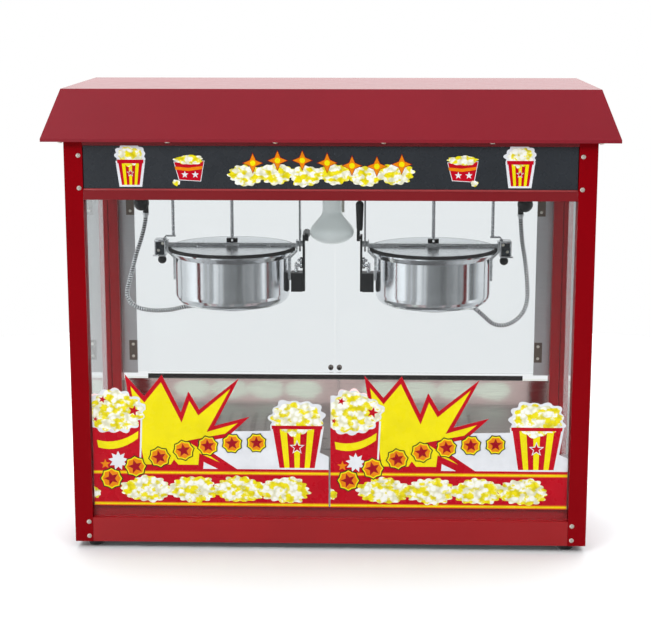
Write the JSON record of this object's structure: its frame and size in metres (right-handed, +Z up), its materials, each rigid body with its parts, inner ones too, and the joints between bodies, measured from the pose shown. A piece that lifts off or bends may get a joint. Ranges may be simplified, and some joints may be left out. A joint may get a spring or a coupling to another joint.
{
  "type": "two-kettle popcorn maker",
  "caption": "Counter-top popcorn maker: red steel cabinet with a pitched roof, glazed cabin, tilting kettles with stirrers, rear doors and a crumb drawer.",
  "frame": {"origin": "centre of the footprint on the surface the feet stand on", "axes": "front faces -Y, +X to the right seen from the front, +Z up"},
  "size_m": [0.93, 0.4, 0.772],
  "materials": {
    "red_paint": "fine-texture red powder coat",
    "steel_sheet": "satin",
    "polished_steel": "mirror polished",
    "bright_steel": "bright",
    "black_rubber": "matte",
    "black_plastic": "satin",
    "sign_acrylic": "printed, glossy",
    "clear_glass": "clear, printed at the bottom of the front pane",
    "clear_acrylic": "clear",
    "lamp_glass": "frosted",
    "ceramic_white": "glazed",
    "motor_steel": "zinc plated"
  },
  "bodies": {
    "cabinet": {"base_shell": "red_paint", "bottom_plate": "steel_sheet", "rubber_feet": "black_rubber", "front_posts": "red_paint", "rear_posts": "red_paint", "header_panels": "red_paint", "sign_panel": "sign_acrylic", "ceiling_plate": "steel_sheet", "roof_cover": "red_paint", "front_glass": "clear_glass", "side_glass_left": "clear_glass", "side_glass_right": "clear_glass", "floor_plate": "steel_sheet", "sieve_plates": "steel_sheet", "rear_panel": "polished_steel", "door_jambs": "steel_sheet", "control_panel": "red_paint", "switch_housings": "black_plastic", "lamp_socket": "ceramic_white", "heat_lamp": "lamp_glass", "gear_motor_left": "motor_steel", "gear_motor_right": "motor_steel", "inner_hanger_left": "bright_steel", "inner_hanger_right": "bright_steel", "outer_hanger_left": "bright_steel", "outer_hanger_right": "bright_steel", "conduit_sockets": "black_plastic", "conduit_left": "bright_steel", "conduit_right": "bright_steel", "terminal_block": "ceramic_white", "cable_gland": "black_plastic", "frame_screws": "bright_steel"},
    "drawer": {"crumb_drawer": "steel_sheet"},
    "door_body_left": {"door_left": "clear_acrylic", "door_fittings_left": "bright_steel"},
    "door_body_right": {"door_right": "clear_acrylic", "door_fittings_right": "bright_steel"},
    "switch_left": {"rocker_left": "black_plastic"},
    "switch_middle": {"rocker_middle": "black_plastic"},
    "switch_right": {"rocker_right": "black_plastic"},
    "drive_left": {"drive_rod_left": "bright_steel"},
    "kettle_left": {"pot_left": "polished_steel", "kettle_base_left": "bright_steel", "yoke_left": "bright_steel", "dump_arm_left": "black_plastic"},
    "stirrer_body_left": {"stirrer_left": "bright_steel"},
    "front_lid_left": {"lid_front_left": "polished_steel"},
    "rear_lid_left": {"lid_rear_left": "polished_steel"},
    "handle_left": {"dump_handle_left": "black_plastic"},
    "latch_left": {"latch_knob_left": "black_plastic"},
    "drive_right": {"drive_rod_right": "bright_steel"},
    "kettle_right": {"pot_right": "polished_steel", "kettle_base_right": "bright_steel", "yoke_right": "bright_steel", "dump_arm_right": "black_plastic"},
    "stirrer_body_right": {"stirrer_right": "bright_steel"},
    "front_lid_right": {"lid_front_right": "polished_steel"},
    "rear_lid_right": {"lid_rear_right": "polished_steel"},
    "handle_right": {"dump_handle_right": "black_plastic"},
    "latch_right": {"latch_knob_right": "black_plastic"}
  },
  "joints": [
    {"name": "drawer_slide", "type": "slide", "parent": "cabinet", "child": "drawer", "axis": [0, 1, 0], "range_m": [0, 0.25]},
    {"name": "door_left_hinge", "type": "hinge", "parent": "cabinet", "child": "door_body_left", "pos_m": [-0.384, 0.184, 0.407], "axis": [0, 0, 1], "range_deg": [0, 100]},
    {"name": "door_right_hinge", "type": "hinge", "parent": "cabinet", "child": "door_body_right", "pos_m": [0.384, 0.184, 0.407], "axis": [0, 0, -1], "range_deg": [0, 100]},
    {"name": "rocker_left_tilt", "type": "hinge", "parent": "cabinet", "child": "switch_left", "pos_m": [-0.09, 0.184, 0.645], "axis": [1, 0, 0], "range_deg": [0, 14]},
    {"name": "rocker_middle_tilt", "type": "hinge", "parent": "cabinet", "child": "switch_middle", "pos_m": [0, 0.184, 0.645], "axis": [1, 0, 0], "range_deg": [0, 14]},
    {"name": "rocker_right_tilt", "type": "hinge", "parent": "cabinet", "child": "switch_right", "pos_m": [0.09, 0.184, 0.645], "axis": [1, 0, 0], "range_deg": [0, 14]},
    {"name": "drive_left_spin", "type": "hinge", "parent": "cabinet", "child": "drive_left", "pos_m": [-0.175, 0, 0.55], "axis": [0, 0, 1], "continuous": true},
    {"name": "kettle_left_tilt", "type": "hinge", "parent": "cabinet", "child": "kettle_left", "pos_m": [-0.175, 0, 0.495], "axis": [1, 0, 0], "range_deg": [0, 90], "deforming": ["conduit_left"]},
    {"name": "stirrer_left_spin", "type": "hinge", "parent": "kettle_left", "child": "stirrer_body_left", "pos_m": [-0.175, 0, 0.45], "axis": [0, 0, 1], "continuous": true},
    {"name": "front_lid_left_hinge", "type": "hinge", "parent": "kettle_left", "child": "front_lid_left", "pos_m": [-0.175, -0.01, 0.491], "axis": [1, 0, 0], "range_deg": [-75, 0]},
    {"name": "rear_lid_left_hinge", "type": "hinge", "parent": "kettle_left", "child": "rear_lid_left", "pos_m": [-0.175, 0.01, 0.491], "axis": [-1, 0, 0], "range_deg": [-75, 0]},
    {"name": "handle_left_fold", "type": "hinge", "parent": "kettle_left", "child": "handle_left", "pos_m": [-0.047, 0, 0.5055], "axis": [1, 0, 0], "range_deg": [0, 90]},
    {"name": "latch_left_pull", "type": "slide", "parent": "cabinet", "child": "latch_left", "axis": [0, 0, -1], "range_m": [0, 0.008]},
    {"name": "drive_right_spin", "type": "hinge", "parent": "cabinet", "child": "drive_right", "pos_m": [0.175, 0, 0.55], "axis": [0, 0, 1], "continuous": true},
    {"name": "kettle_right_tilt", "type": "hinge", "parent": "cabinet", "child": "kettle_right", "pos_m": [0.175, 0, 0.495], "axis": [1, 0, 0], "range_deg": [0, 90], "deforming": ["conduit_right"]},
    {"name": "stirrer_right_spin", "type": "hinge", "parent": "kettle_right", "child": "stirrer_body_right", "pos_m": [0.175, 0, 0.45], "axis": [0, 0, 1], "continuous": true},
    {"name": "front_lid_right_hinge", "type": "hinge", "parent": "kettle_right", "child": "front_lid_right", "pos_m": [0.175, -0.01, 0.491], "axis": [1, 0, 0], "range_deg": [-75, 0]},
    {"name": "rear_lid_right_hinge", "type": "hinge", "parent": "kettle_right", "child": "rear_lid_right", "pos_m": [0.175, 0.01, 0.491], "axis": [-1, 0, 0], "range_deg": [-75, 0]},
    {"name": "handle_right_fold", "type": "hinge", "parent": "kettle_right", "child": "handle_right", "pos_m": [0.047, 0, 0.5055], "axis": [1, 0, 0], "range_deg": [-90, 0]},
    {"name": "latch_right_pull", "type": "slide", "parent": "cabinet", "child": "latch_right", "axis": [0, 0, -1], "range_m": [0, 0.008]}
  ],
  "couplings": [
    {"joint": "drive_left_spin", "follows": "stirrer_left_spin", "ratio": 1},
    {"joint": "drive_right_spin", "follows": "stirrer_right_spin", "ratio": 1}
  ]
}
